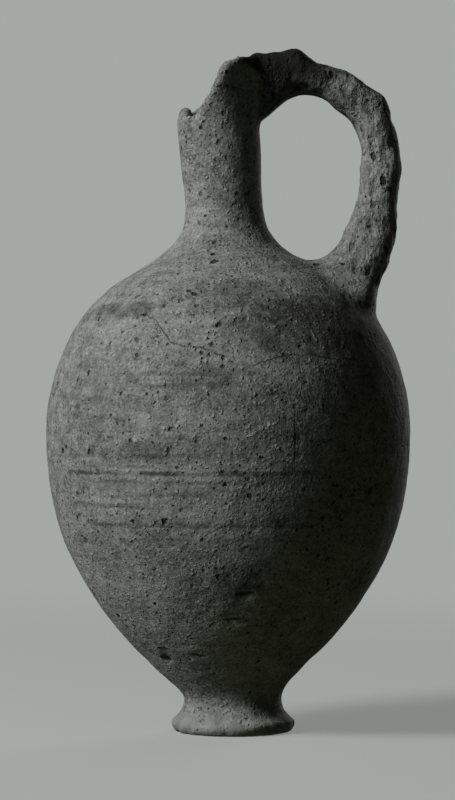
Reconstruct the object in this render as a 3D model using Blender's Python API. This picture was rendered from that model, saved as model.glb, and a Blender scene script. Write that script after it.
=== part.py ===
"""A footed ceramic jug with one loop handle, built from the pieces of clay that a potter lutes together.

Metres, +Z up. The jug stands on Z = 0 with the belly's axis at X = Y = 0 and the handle toward +X. Every
turned piece follows one outer wall line, which leans with the neck and shifts with the foot as the hand-made
jug does.
"""

import math

import bmesh
import bpy
import numpy as np
from mathutils import Vector
from mathutils.geometry import interpolate_bezier

# Walls and fits
WALL = 0.0045  # thickness of the body and neck walls
JOINT_GAP = 0.0003  # clear gap where two pieces meet

# Foot
FOOT_RADIUS = 0.0225
FOOT_RIM_HEIGHT = 0.0040  # from the floor to the foot's widest line
FOOT_EDGE_DROP = 0.0022  # how far in the resting edge lies from the widest line
FOOT_HOLLOW_RADIUS = 0.0120
FOOT_HOLLOW_DEPTH = 0.0020
FOOT_SHIFT = 0.0016  # the foot sits this far toward the handle
FOOT_SHIFT_FADE = 0.0090  # over this rise above the narrowest line the shift dies away
STEM_RADIUS = 0.0176  # narrowest line, between foot and body
STEM_RISE = 0.0077  # from the foot's widest line to the narrowest line
FOOT_JOIN_RISE = 0.0035  # from the narrowest line to the seat between foot and body
FOOT_SEAT_DISH = 0.0020  # how much lower the seat is at its middle
FOOT_COIL_REACH = 0.0032  # the join coil's groove opens this far above and below the seat

# Body
BELLY_RADIUS = 0.0665
BELLY_RISE = 0.0963  # from the stem's narrowest line to the widest line
SHOULDER_RISE = 0.0840  # from the widest line to the neck's narrowest line
FLOOR_THICKNESS = 0.0090
FLOOR_DISH = 0.0015
SEAM_RISE = 0.0350  # from the widest line to the seam between lower body and shoulder
SEAM_TILT = 0.0080  # the seam rises toward the front and falls toward the back by this much

# Neck and mouth
NECK_RADIUS = 0.0139
NECK_LENGTH = 0.0240  # from the narrowest line to the mouth
NECK_TOP_RADIUS = 0.0149
NECK_LEAN = math.radians(3.7)  # toward the front
NECK_LEAN_DROP = 0.0270  # the lean starts this far below the neck's narrowest line
NECK_JOIN_DROP = 0.0110  # the neck is luted on this far below its narrowest line
NECK_COIL_REACH = 0.0045
LIP_FRONT_RISE = 0.0100  # from the neck's top to the broken front edge
LIP_BACK_RISE = 0.0287  # from the neck's top to the edge at the sides and back
LIP_TWIST = 0.0025  # the far side of the front edge stands this much higher
LIP_RADIUS = 0.0152  # at the front and the back
LIP_SIDE_FLARE = 0.0090  # extra at the sides, at the back edge's height
LIP_WALL = 0.0036

# Handle
HANDLE_THICKNESS = 0.0134
HANDLE_WIDTH = 0.0170
HANDLE_REACH = 0.0559  # from the jug's axis to the outermost point of the handle's spine
HANDLE_REACH_DROP = 0.0070  # that point lies this far below the neck's top
HANDLE_START_RISE = 0.0250  # the spine starts this far above the neck's top
HANDLE_ROOT_INSET = 0.0195  # the spine meets the shoulder this far in from the belly's widest line
HANDLE_TOP_SWELL = 0.0125  # extra depth under the upper end
HANDLE_TOP_SWELL_LENGTH = 0.0105
HANDLE_FOOT_SWELL = 0.0080  # extra depth inside the lower end
HANDLE_FOOT_SWELL_LENGTH = 0.0260
HANDLE_SIDE_SWELL = 0.0025  # extra half width at both ends
TENON_RADIUS = 0.0050
TENON_INSET = 0.0080  # how far the tenon runs up inside the handle
TENON_PROUD = 0.0035  # how far it stands out inside the shoulder

# Clay pressed over the handle's ends
ROOT_PAD_LENGTH = 0.0150  # up the handle
ROOT_PAD_EDGE = 0.0009  # thickness of the pad's upper edge
ROOT_PAD_INNER_SPREAD = 0.0140  # extra on the shoulder, toward the neck
ROOT_PAD_SIDE_SPREAD = 0.0050  # and to each side
TOP_PAD_SETBACK = 0.0130  # from the back of the lip to the pad's middle
TOP_PAD_LENGTH = 0.0190
TOP_PAD_WIDTH = 0.0180
TOP_PAD_HEIGHT = 0.0026  # above the handle
TOP_PAD_DEPTH = 0.0050  # how far the pad's middle lies below the handle's top
WAD_RADIUS = 0.0095
WAD_COVER = 0.0030  # clay over the tenon's end

# Shapes of the curves, as shares of the rise or run between their ends
FLARE_IN_SHARE = 0.60
FLARE_UP_SHARE = 0.20
FLARE_STEM_SHARE = 0.45
STEM_SHARE = 0.104
BELLY_SHARE_BELOW = 0.675
BELLY_SHARE_ABOVE = 0.810
NECK_SHARE_BELOW = 0.370
NECK_SHARE_ABOVE = 0.400
HANDLE_TOP_SHARE = 0.58
HANDLE_BEND_SHARE_ABOVE = 0.76
HANDLE_BEND_SHARE_BELOW = 0.37
HANDLE_ROOT_RUN_SHARE = 0.56
HANDLE_ROOT_DROP_SHARE = 0.28
LIP_SLOPE_FROM = -0.60  # cosine of the angle from the back where the edge begins to rise
LIP_SLOPE_TO = 0.42  # and where it has risen
LIP_PINCH = 0.90  # how much the flare gathers at the front and leaves the back
LIP_FLARE_POWER = 1.7  # the flare grows with this power of the height over the neck
SEAM_HIGH_ANGLE = math.radians(190)
GROOVE_SHARE = 0.42  # of the wall that a join coil's groove cuts through
SECTION_ROUNDNESS = 2.5  # exponent of the handle's rounded section: 2 is an ellipse

# Fineness of the meshes
SEGMENTS = 48
ARC_POINTS = 4
FOOT_RINGS = 6
COIL_RINGS = 6
BELLY_RINGS = 10
SEAM_RINGS = 5
SHOULDER_RINGS = 8
NECK_RINGS = 6
SECTION_POINTS = 16
HANDLE_RINGS = 24
MOUTH_RINGS = 6
PAD_RINGS = 7
SPAN_POINTS = 80
SLOPE_STEP = 0.0002
MERGE_DISTANCE = 0.000002
SHARP_ANGLE = math.radians(40)

# Heights that follow from the sizes above
STEM_HEIGHT = FOOT_RIM_HEIGHT + STEM_RISE
BELLY_HEIGHT = STEM_HEIGHT + BELLY_RISE
WAIST_HEIGHT = BELLY_HEIGHT + SHOULDER_RISE
NECK_TOP = WAIST_HEIGHT + NECK_LENGTH
FOOT_JOIN = STEM_HEIGHT + FOOT_JOIN_RISE
NECK_JOIN = WAIST_HEIGHT - NECK_JOIN_DROP
FLOOR_HEIGHT = FOOT_JOIN + FLOOR_THICKNESS
LIP_BACK = NECK_TOP + LIP_BACK_RISE


def ease(value):
    """Go from 0 to 1 smoothly as value does, and stay level outside."""
    value = min(max(value, 0.0), 1.0)
    return value * value * (3.0 - 2.0 * value)


def axis_shift(height):
    """How far the axis lies from X = 0: toward the handle at the foot, to the front up the neck."""
    foot = FOOT_SHIFT * (1.0 - ease((height - STEM_HEIGHT) / FOOT_SHIFT_FADE))
    neck = math.tan(NECK_LEAN) * max(0.0, height - (WAIST_HEIGHT - NECK_LEAN_DROP))
    return foot - neck


def span(start, start_pull, end_pull, end):
    """One smooth stretch of an outline between two points, as evenly stepped points."""
    knots = [Vector((across, 0.0, up)) for across, up in (start, start_pull, end_pull, end)]
    return [(point.x, point.z) for point in interpolate_bezier(*knots, SPAN_POINTS)]


class Outline:
    """A wall seen from the side: its radius at every height, from low to high."""

    def __init__(self, points):
        self.radii = [radius for radius, _ in points]
        self.heights = [height for _, height in points]

    def radius(self, height):
        return float(np.interp(height, self.heights, self.radii))

    def height_above(self, radius, lowest):
        """The height over lowest where the wall has come in to this radius."""
        rows = zip(self.radii, self.heights)
        return next(height for own, height in rows if height > lowest and own <= radius)

    def offset(self, height, distance):
        """The (radius, height) point that lies this far outside the wall, square to it."""
        rise = self.radius(height + SLOPE_STEP) - self.radius(height - SLOPE_STEP)
        slope = rise / (2.0 * SLOPE_STEP)
        length = math.hypot(1.0, slope)
        return self.radius(height) + distance / length, height - distance * slope / length

    def rings(self, low, high, count):
        """Points from low to high, evenly spaced along the wall."""
        heights = np.linspace(low, high, SPAN_POINTS)
        radii = np.interp(heights, self.heights, self.radii)
        steps = np.hypot(np.diff(radii), np.diff(heights))
        run = np.concatenate(([0.0], np.cumsum(steps)))
        spaced = np.interp(np.linspace(0.0, run[-1], count), run, heights)
        return [(self.radius(height), float(height)) for height in spaced]


def outer_wall():
    """The jug's outside from the foot's widest line to the top of the neck."""
    flare = FOOT_RADIUS - STEM_RADIUS
    foot = span(
        (FOOT_RADIUS, FOOT_RIM_HEIGHT),
        (FOOT_RADIUS - FLARE_IN_SHARE * flare, FOOT_RIM_HEIGHT + FLARE_UP_SHARE * STEM_RISE),
        (STEM_RADIUS, STEM_HEIGHT - FLARE_STEM_SHARE * STEM_RISE),
        (STEM_RADIUS, STEM_HEIGHT),
    )
    lower = span(
        (STEM_RADIUS, STEM_HEIGHT),
        (STEM_RADIUS, STEM_HEIGHT + STEM_SHARE * BELLY_RISE),
        (BELLY_RADIUS, BELLY_HEIGHT - BELLY_SHARE_BELOW * BELLY_RISE),
        (BELLY_RADIUS, BELLY_HEIGHT),
    )
    upper = span(
        (BELLY_RADIUS, BELLY_HEIGHT),
        (BELLY_RADIUS, BELLY_HEIGHT + BELLY_SHARE_ABOVE * SHOULDER_RISE),
        (NECK_RADIUS, WAIST_HEIGHT - NECK_SHARE_BELOW * SHOULDER_RISE),
        (NECK_RADIUS, WAIST_HEIGHT),
    )
    neck = span(
        (NECK_RADIUS, WAIST_HEIGHT),
        (NECK_RADIUS, WAIST_HEIGHT + NECK_SHARE_ABOVE * NECK_LENGTH),
        (NECK_TOP_RADIUS, NECK_TOP - NECK_SHARE_ABOVE * NECK_LENGTH),
        (NECK_TOP_RADIUS, NECK_TOP),
    )
    return Outline(foot + lower[1:] + upper[1:] + neck[1:])


OUTER = outer_wall()
INNER = Outline([OUTER.offset(height, -WALL) for height in OUTER.heights if height >= FOOT_JOIN])


def seam_height(angle):
    """Height of the seam between lower body and shoulder on the outside, round the jug."""
    return BELLY_HEIGHT + SEAM_RISE + SEAM_TILT * math.cos(angle - SEAM_HIGH_ANGLE)


def lip_height(angle):
    """Height of the mouth's edge: low and broken at the front, high at the sides and the back."""
    risen = ease((math.cos(angle) - LIP_SLOPE_FROM) / (LIP_SLOPE_TO - LIP_SLOPE_FROM))
    front = NECK_TOP + LIP_FRONT_RISE + LIP_TWIST * math.sin(angle)
    return front + (LIP_BACK - front) * risen


def mouth_radius(angle, height):
    """Radius of the mouth's outside, which flares upward at the sides and is pinched in toward the handle."""
    risen = (height - NECK_TOP) / LIP_BACK_RISE
    gathered = 1.0 - LIP_PINCH * math.cos(angle)
    flare = LIP_SIDE_FLARE * gathered * math.sin(angle) ** 4 * risen**LIP_FLARE_POWER
    return NECK_TOP_RADIUS + (LIP_RADIUS - NECK_TOP_RADIUS) * risen + flare


def mouth_side(angle, start_depth, end_depth):
    """Points up one side of the mouth's wall, which lies this deep in from the outside at its two ends."""
    low = NECK_TOP + JOINT_GAP / 2.0
    high = lip_height(angle) - LIP_WALL / 2.0
    points = []
    for share in np.linspace(0.0, 1.0, MOUTH_RINGS):
        height = float(low + (high - low) * share)
        depth = float(start_depth + (end_depth - start_depth) * share)
        points.append((mouth_radius(angle, height) - depth, height))
    return points


def place(radius, angle, height):
    return Vector((axis_shift(height) + radius * math.cos(angle), radius * math.sin(angle), height))


def clay(name, colour, roughness):
    """A plain fired-clay material for one piece."""
    material = bpy.data.materials.new(name + "_clay")
    material.use_nodes = True
    shader = material.node_tree.nodes["Principled BSDF"]
    shader.inputs["Base Color"].default_value = (*colour, 1.0)
    shader.inputs["Roughness"].default_value = roughness
    shader.inputs["Metallic"].default_value = 0.0
    return material


def add_object(name, bm, material):
    """Close up a modelled mesh and put it in the scene under its own name."""
    bmesh.ops.remove_doubles(bm, verts=bm.verts, dist=MERGE_DISTANCE)
    loose = [edge for edge in bm.edges if not edge.link_faces]
    bmesh.ops.delete(bm, geom=loose, context="EDGES")
    bmesh.ops.recalc_face_normals(bm, faces=bm.faces)
    mesh = bpy.data.meshes.new(name)
    bm.to_mesh(mesh)
    bm.free()
    mesh.shade_smooth()
    mesh.set_sharp_from_angle(angle=SHARP_ANGLE)
    piece = bpy.data.objects.new(name, mesh)
    bpy.context.collection.objects.link(piece)
    if material is None:
        piece.hide_render = True
        piece.display_type = "WIRE"
    else:
        mesh.materials.append(material)
    return piece


def join_rings(bm, rings):
    """Skin neighbouring rings of points with faces."""
    for ring, following in zip(rings, rings[1:]):
        for index in range(len(ring)):
            after = (index + 1) % len(ring)
            bm.faces.new((ring[index], ring[after], following[after], following[index]))


def turned(name, section_at, material=None):
    """Turn a closed section of (radius, height) points about the axis. It may change with the angle."""
    bm = bmesh.new()
    rings = []
    for step in range(SEGMENTS):
        angle = math.tau * step / SEGMENTS
        rings.append([bm.verts.new(place(radius, angle, height)) for radius, height in section_at(angle)])
    join_rings(bm, rings + rings[:1])
    return add_object(name, bm, material)


def cut(piece, tool, operation="DIFFERENCE"):
    boolean = piece.modifiers.new(tool.name, "BOOLEAN")
    boolean.operation = operation
    boolean.solver = "EXACT"
    boolean.object = tool


# Turned pieces


def groove_radius(join, reach):
    """Radius of the bottom of the groove that a join coil fills."""
    return min(OUTER.radius(join - reach), OUTER.radius(join + reach)) - GROOVE_SHARE * WALL


def quarter_round(run, rise):
    """(across, up) points of a quarter round that starts level, without its upright last point."""
    turns = np.linspace(0.0, math.pi / 2.0, ARC_POINTS, endpoint=False)
    return [(run * math.sin(turn), rise * (1.0 - math.cos(turn))) for turn in turns]


def make_foot(material):
    hollow = quarter_round(FOOT_HOLLOW_RADIUS, FOOT_HOLLOW_DEPTH)
    section = [(across, FOOT_HOLLOW_DEPTH - up) for across, up in hollow]
    section.append((FOOT_HOLLOW_RADIUS, 0.0))
    resting_radius = FOOT_RADIUS - FOOT_EDGE_DROP
    edge = quarter_round(FOOT_EDGE_DROP, FOOT_RIM_HEIGHT)
    section += [(resting_radius + across, up) for across, up in edge]
    section += OUTER.rings(FOOT_RIM_HEIGHT, FOOT_JOIN - FOOT_COIL_REACH, FOOT_RINGS)
    seat = FOOT_JOIN - JOINT_GAP / 2.0
    section.append((groove_radius(FOOT_JOIN, FOOT_COIL_REACH), seat))
    section.append((0.0, seat - FOOT_SEAT_DISH))
    return turned("foot", lambda angle: section, material)


def flank_clearance(join, edge, bottom):
    """How far a coil stays from a groove's edge and bottom, to clear the flank between them."""
    run = OUTER.radius(edge) - bottom
    rise = abs(edge - join)
    flank = math.hypot(run, rise)
    return JOINT_GAP * flank / run, JOINT_GAP * flank / rise


def make_join_coil(name, join, reach, material):
    """A coil pressed into the groove round a joint and smoothed flush with the walls beside it."""
    bottom = groove_radius(join, reach)
    low_inset, low_tip = flank_clearance(join, join - reach, bottom)
    high_inset, high_tip = flank_clearance(join, join + reach, bottom)
    section = OUTER.rings(join - reach + low_inset, join + reach - high_inset, COIL_RINGS)
    section.append((bottom + max(low_tip, high_tip), join))
    return turned(name, lambda angle: section, material)


def lower_body_outside(angle):
    below_belly = OUTER.rings(FOOT_JOIN + FOOT_COIL_REACH, BELLY_HEIGHT, BELLY_RINGS)
    above_belly = OUTER.rings(BELLY_HEIGHT, seam_height(angle) - JOINT_GAP / 2.0, SEAM_RINGS)
    return below_belly + above_belly[1:]


def lower_body_inside(angle):
    _, top = OUTER.offset(seam_height(angle) - JOINT_GAP / 2.0, -WALL)
    below_belly = INNER.rings(FLOOR_HEIGHT, BELLY_HEIGHT, BELLY_RINGS)
    return below_belly + INNER.rings(BELLY_HEIGHT, top, SEAM_RINGS)[1:]


def make_lower_body(material):
    seat = FOOT_JOIN + JOINT_GAP / 2.0
    base = [
        (0.0, FLOOR_HEIGHT - FLOOR_DISH),
        (0.0, seat - FOOT_SEAT_DISH),
        (groove_radius(FOOT_JOIN, FOOT_COIL_REACH), seat),
    ]

    def section(angle):
        return lower_body_outside(angle) + lower_body_inside(angle)[::-1] + base

    return turned("lower_body", section, material)


def shoulder_outside(angle):
    return OUTER.rings(seam_height(angle) + JOINT_GAP / 2.0, NECK_JOIN - NECK_COIL_REACH, SHOULDER_RINGS)


def shoulder_inside(angle):
    _, bottom = OUTER.offset(seam_height(angle) + JOINT_GAP / 2.0, -WALL)
    return INNER.rings(bottom, NECK_JOIN - JOINT_GAP / 2.0, SHOULDER_RINGS)


def make_shoulder(material):
    groove = (groove_radius(NECK_JOIN, NECK_COIL_REACH), NECK_JOIN - JOINT_GAP / 2.0)

    def section(angle):
        return shoulder_outside(angle) + [groove] + shoulder_inside(angle)[::-1]

    return turned("shoulder", section, material)


def neck_outside():
    return OUTER.rings(NECK_JOIN + NECK_COIL_REACH, NECK_TOP - JOINT_GAP / 2.0, NECK_RINGS)


def make_neck(material):
    seat = NECK_JOIN + JOINT_GAP / 2.0
    inside = INNER.rings(seat, NECK_TOP - JOINT_GAP / 2.0, NECK_RINGS)
    groove = (groove_radius(NECK_JOIN, NECK_COIL_REACH), seat)
    section = neck_outside() + inside[::-1] + [groove]
    return turned("neck", lambda angle: section, material)


def mouth_outside(angle):
    """Points up the outside of the mouth and onto its edge."""
    side = mouth_side(angle, 0.0, 0.0)
    return side + [(side[-1][0] - LIP_WALL / 2.0, lip_height(angle))]


def mouth_inside(angle):
    return mouth_side(angle, WALL, LIP_WALL)


def make_mouth(material):
    return turned("mouth", lambda angle: mouth_outside(angle) + mouth_inside(angle)[::-1], material)


# Tools for cutting the handle and its clay to the jug's walls


def make_outer_tool():
    """The jug's outside over the foot as one solid, larger by the joint gap."""
    bottom = (0.0, FOOT_JOIN + FOOT_COIL_REACH)
    top = (0.0, NECK_TOP + LIP_FRONT_RISE)

    def section(angle):
        walls = lower_body_outside(angle) + shoulder_outside(angle) + neck_outside()
        grown = [OUTER.offset(height, JOINT_GAP) for _, height in walls]
        *side, edge = mouth_outside(angle)
        mouth = [(radius + JOINT_GAP, height) for radius, height in side]
        return [bottom] + grown + mouth + [(edge[0], edge[1] + JOINT_GAP), top]

    return turned("outer_tool", section)


def make_cavity_tool():
    """The hollow inside the body as one solid, smaller by the joint gap."""

    def section(angle):
        walls = lower_body_inside(angle) + shoulder_inside(angle)
        shrunk = [INNER.offset(height, -JOINT_GAP) for _, height in walls]
        return [(0.0, FLOOR_HEIGHT)] + shrunk + [(0.0, NECK_JOIN)]

    return turned("cavity_tool", section)


# Handle


def handle_root():
    """Where the handle's spine meets the shoulder's outside."""
    radius = BELLY_RADIUS - HANDLE_ROOT_INSET
    return radius, OUTER.height_above(radius, BELLY_HEIGHT)


def handle_spine():
    """Points of the handle's spine, from the mouth's back to the shoulder, and their lengths along it."""
    start_height = NECK_TOP + HANDLE_START_RISE
    start = (axis_shift(start_height) + LIP_RADIUS - WALL / 2.0, start_height)
    bend = (HANDLE_REACH, NECK_TOP - HANDLE_REACH_DROP)
    root = handle_root()
    run = bend[0] - start[0]
    rise = start[1] - bend[1]
    drop = bend[1] - root[1]
    over = span(
        start,
        (start[0] + HANDLE_TOP_SHARE * run, start[1]),
        (bend[0], bend[1] + HANDLE_BEND_SHARE_ABOVE * rise),
        bend,
    )
    down = span(
        bend,
        (bend[0], bend[1] - HANDLE_BEND_SHARE_BELOW * drop),
        (root[0] + HANDLE_ROOT_RUN_SHARE * (bend[0] - root[0]), root[1] + HANDLE_ROOT_DROP_SHARE * drop),
        root,
    )
    points = np.array(over + down[1:])
    steps = np.hypot(*np.diff(points, axis=0).T)
    lengths = np.concatenate(([0.0], np.cumsum(steps)))
    return points, lengths


class Spine:
    """The handle's spine: its points, directions and swelling by length along it."""

    def __init__(self):
        self.points, self.lengths = handle_spine()
        self.length = float(self.lengths[-1])

    def point(self, along):
        across = np.interp(along, self.lengths, self.points[:, 0])
        up = np.interp(along, self.lengths, self.points[:, 1])
        beyond = max(0.0, along - self.length)
        return Vector((across, 0.0, up)) + beyond * self.end_direction()

    def direction(self, along):
        low = min(max(along - SLOPE_STEP, 0.0), self.length - 2.0 * SLOPE_STEP)
        across = np.interp([low, low + 2.0 * SLOPE_STEP], self.lengths, self.points[:, 0])
        up = np.interp([low, low + 2.0 * SLOPE_STEP], self.lengths, self.points[:, 1])
        return Vector((across[1] - across[0], 0.0, up[1] - up[0])).normalized()

    def end_direction(self):
        return self.direction(self.length)

    def extents(self, along):
        """Half sizes of the section: toward the neck, away from it, and to each side."""
        top = math.exp(-((along / HANDLE_TOP_SWELL_LENGTH) ** 2))
        foot = math.exp(-(((self.length - along) / HANDLE_FOOT_SWELL_LENGTH) ** 2))
        outward = HANDLE_THICKNESS / 2.0
        inward = outward + HANDLE_TOP_SWELL * top + HANDLE_FOOT_SWELL * foot
        sideways = HANDLE_WIDTH / 2.0 + HANDLE_SIDE_SWELL * (top + foot)
        return inward, outward, sideways


SPINE = Spine()


def stations_to_wall(start, count):
    """Lengths along the spine from start to the shoulder, and one more inside it for the cut."""
    return list(np.linspace(start, SPINE.length, count)) + [SPINE.length + HANDLE_THICKNESS]


def swept(name, stations, extents_at, material=None):
    """Carry a rounded section along the handle's spine and close its ends."""
    bm = bmesh.new()
    rings = []
    power = 2.0 / SECTION_ROUNDNESS
    for along in stations:
        inward, outward, sideways = extents_at(along)
        direction = SPINE.direction(along)
        away = Vector((-direction.z, 0.0, direction.x))
        ring = []
        for step in range(SECTION_POINTS):
            turn = math.tau * step / SECTION_POINTS
            depth = math.copysign(abs(math.cos(turn)) ** power, math.cos(turn))
            side = math.copysign(abs(math.sin(turn)) ** power, math.sin(turn))
            depth *= outward if depth > 0.0 else inward
            offset = away * depth + Vector((0.0, sideways * side, 0.0))
            ring.append(bm.verts.new(SPINE.point(along) + offset))
        rings.append(ring)
    join_rings(bm, rings)
    bm.faces.new(rings[0])
    bm.faces.new(rings[-1])
    return add_object(name, bm, material)


def add_rod(name, start, end, radius):
    """A round rod between two points, used as the tenon and to cut holes for it."""
    bm = bmesh.new()
    run = end - start
    bmesh.ops.create_cone(
        bm,
        cap_ends=True,
        segments=SECTION_POINTS,
        radius1=radius,
        radius2=radius,
        depth=run.length,
    )
    turn = Vector((0.0, 0.0, 1.0)).rotation_difference(run).to_matrix().to_4x4()
    bmesh.ops.transform(bm, matrix=turn, verts=bm.verts)
    bmesh.ops.translate(bm, vec=(start + end) / 2.0, verts=bm.verts)
    return add_object(name, bm, None)


def tenon_ends():
    """Where the tenon starts inside the handle and where it ends inside the shoulder."""
    root = SPINE.point(SPINE.length)
    direction = SPINE.end_direction()
    slant = direction.dot(wall_normal_at_root())
    through = WALL / abs(slant)
    return root - direction * TENON_INSET, root + direction * (through + TENON_PROUD)


def wall_normal_at_root():
    radius, height = handle_root()
    outer_radius, outer_height = OUTER.offset(height, 1.0)
    return Vector((outer_radius - radius, 0.0, outer_height - height)).normalized()


def make_handle(outer_tool, material):
    handle = swept("handle", stations_to_wall(0.0, HANDLE_RINGS), SPINE.extents, material)
    cut(handle, outer_tool)
    start, end = tenon_ends()
    cut(handle, add_rod("tenon", start, end, TENON_RADIUS), "UNION")
    return handle


def make_handle_tool():
    """The handle's plain sweep, larger by the joint gap."""

    def extents(along):
        return tuple(half + JOINT_GAP for half in SPINE.extents(along))

    return swept("handle_tool", stations_to_wall(0.0, HANDLE_RINGS), extents)


def make_root_pad(outer_tool, handle_tool, material):
    """Clay pressed round the handle's lower root, thin up the handle and spreading on the shoulder."""
    start = SPINE.length - ROOT_PAD_LENGTH

    def extents(along):
        spread = ease((along - start) / ROOT_PAD_LENGTH) ** 2
        inward, outward, sideways = SPINE.extents(along)
        return (
            inward + ROOT_PAD_EDGE + ROOT_PAD_INNER_SPREAD * spread,
            outward + ROOT_PAD_EDGE,
            sideways + ROOT_PAD_EDGE + ROOT_PAD_SIDE_SPREAD * spread,
        )

    pad = swept("handle_root_pad", stations_to_wall(start, PAD_RINGS), extents, material)
    cut(pad, handle_tool)
    cut(pad, outer_tool)
    return pad


def add_lump(name, middle, half_sizes, direction, material):
    """A rounded lump of clay, with its third half size along direction."""
    bm = bmesh.new()
    bmesh.ops.create_uvsphere(bm, u_segments=SECTION_POINTS, v_segments=SECTION_POINTS // 2, radius=1.0)
    bmesh.ops.scale(bm, vec=half_sizes, verts=bm.verts)
    turn = Vector((0.0, 0.0, 1.0)).rotation_difference(direction).to_matrix().to_4x4()
    bmesh.ops.transform(bm, matrix=turn, verts=bm.verts)
    bmesh.ops.translate(bm, vec=middle, verts=bm.verts)
    return add_object(name, bm, material)


def make_top_pad(outer_tool, handle_tool, material):
    back = axis_shift(LIP_BACK) + LIP_RADIUS
    top = NECK_TOP + HANDLE_START_RISE + HANDLE_THICKNESS / 2.0
    middle = Vector((back + TOP_PAD_SETBACK, 0.0, top - TOP_PAD_DEPTH))
    half_sizes = (TOP_PAD_LENGTH / 2.0, TOP_PAD_WIDTH / 2.0, TOP_PAD_DEPTH + TOP_PAD_HEIGHT)
    pad = add_lump("handle_top_pad", middle, half_sizes, Vector((0.0, 0.0, 1.0)), material)
    cut(pad, handle_tool)
    cut(pad, outer_tool)
    return pad


def make_tenon_wad(cavity_tool, tenon_tool, material):
    """Clay pressed over the tenon's end against the inside of the shoulder."""
    direction = SPINE.end_direction()
    _, end = tenon_ends()
    middle = end - direction * TENON_PROUD
    half_sizes = (WAD_RADIUS, WAD_RADIUS, TENON_PROUD + WAD_COVER)
    wad = add_lump("handle_tenon_wad", middle, half_sizes, direction, material)
    cut(wad, cavity_tool, "INTERSECT")
    cut(wad, tenon_tool)
    return wad


def build():
    for item in list(bpy.data.objects):
        bpy.data.objects.remove(item, do_unlink=True)

    # Fired clay: a mid grey body, a paler crusted foot, and darker clay at the joins and on the handle
    make_foot(clay("foot", (0.24, 0.25, 0.24), 0.95))
    foot_coil_clay = clay("foot_join_coil", (0.17, 0.17, 0.16), 0.95)
    make_join_coil("foot_join_coil", FOOT_JOIN, FOOT_COIL_REACH, foot_coil_clay)
    make_lower_body(clay("lower_body", (0.19, 0.20, 0.18), 0.9))
    shoulder = make_shoulder(clay("shoulder", (0.21, 0.22, 0.20), 0.9))
    neck_coil_clay = clay("neck_join_coil", (0.20, 0.21, 0.19), 0.95)
    make_join_coil("neck_join_coil", NECK_JOIN, NECK_COIL_REACH, neck_coil_clay)
    make_neck(clay("neck", (0.21, 0.22, 0.20), 0.92))
    make_mouth(clay("mouth", (0.20, 0.21, 0.19), 0.92))

    outer_tool = make_outer_tool()
    cavity_tool = make_cavity_tool()
    handle_tool = make_handle_tool()
    start, end = tenon_ends()
    slack = SPINE.end_direction() * JOINT_GAP
    tenon_tool = add_rod("tenon_tool", start - slack, end + slack, TENON_RADIUS + JOINT_GAP)
    cut(shoulder, tenon_tool)
    make_handle(outer_tool, clay("handle", (0.17, 0.18, 0.16), 0.95))
    make_root_pad(outer_tool, handle_tool, clay("handle_root_pad", (0.18, 0.19, 0.17), 0.95))
    make_top_pad(outer_tool, handle_tool, clay("handle_top_pad", (0.18, 0.18, 0.17), 0.95))
    make_tenon_wad(cavity_tool, tenon_tool, clay("handle_tenon_wad", (0.15, 0.15, 0.14), 0.95))


build()
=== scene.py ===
"""The looks of a footed ceramic jug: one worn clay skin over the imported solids, parted at its luted joints.

Metres, +Z up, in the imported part's frame: the jug stands on Z = 0 and its handle points to +X.
A turn is an angle round the jug's axis from the front of the view, positive toward the handle.
The clay finishes count in millimetres and degrees.
"""

import math

import bmesh
import bpy
import numpy as np
from mathutils import Matrix, Vector, noise


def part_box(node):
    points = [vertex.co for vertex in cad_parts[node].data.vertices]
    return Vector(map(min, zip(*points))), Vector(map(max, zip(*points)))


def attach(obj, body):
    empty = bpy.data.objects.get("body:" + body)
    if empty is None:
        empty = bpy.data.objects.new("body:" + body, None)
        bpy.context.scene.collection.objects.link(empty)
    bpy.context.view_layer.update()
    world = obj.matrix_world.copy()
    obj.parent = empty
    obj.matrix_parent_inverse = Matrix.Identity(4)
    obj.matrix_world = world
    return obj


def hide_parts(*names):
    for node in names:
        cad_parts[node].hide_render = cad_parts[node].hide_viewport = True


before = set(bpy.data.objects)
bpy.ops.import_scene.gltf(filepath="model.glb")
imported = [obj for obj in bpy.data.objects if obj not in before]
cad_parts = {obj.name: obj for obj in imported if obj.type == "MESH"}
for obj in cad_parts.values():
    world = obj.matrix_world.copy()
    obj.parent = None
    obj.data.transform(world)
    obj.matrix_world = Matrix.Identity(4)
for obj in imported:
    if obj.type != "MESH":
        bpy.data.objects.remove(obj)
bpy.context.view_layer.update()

MM = 0.001
QUARTER_TURN = math.radians(90.0)
ACROSS_AND_UP = [0, 2]  # the two axes of the front view

# Skin: fusing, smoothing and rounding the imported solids
VOXEL = 1.2 * MM
JOINT_CLOSING = 0.22 * MM  # each solid grows by this much, so that the joint gaps close
MERGE_DISTANCE = 0.001 * MM
CUT_TOLERANCE = 0.002 * MM
SMOOTH_ROUNDS = 14
SMOOTH_SHRINK = 0.50
SMOOTH_GROW = -0.53
NEAR_CORE = 0.6  # share of a reach within which a point still counts in full
FOOT_SMOOTHING = 0.35  # share of the smoothing that the foot's crisp edges get
FOOT_EDGE_TOP = 15.0 * MM
FOOT_EDGE_LOW = 0.7 * FOOT_EDGE_TOP
LIP_ROUNDS = 90
LIP_PLACE = (1.0 * MM, -4.0 * MM, 236.0 * MM)
LIP_REACH = 18.0 * MM
SOFT_ROUNDS = 14
PAD_PLACE = (17.0 * MM, 0.0, 246.0 * MM)
PAD_REACH = 17.0 * MM
ROOT_REACH = 30.0 * MM
WALL_FACING = 0.25  # share of a face's normal that points outward on the belly's outer wall
WALL_LINE_DEGREE = 10
BELLY_LOW = 23.0 * MM
BELLY_HIGH = 170.0 * MM
BELLY_FADE = 7.0 * MM
WALL_INNER = 1.8 * MM  # the outer skin reaches this far in from the wall line
WALL_OUTER = 0.8 * MM
WALL_BLEND = 1.4 * MM
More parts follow.
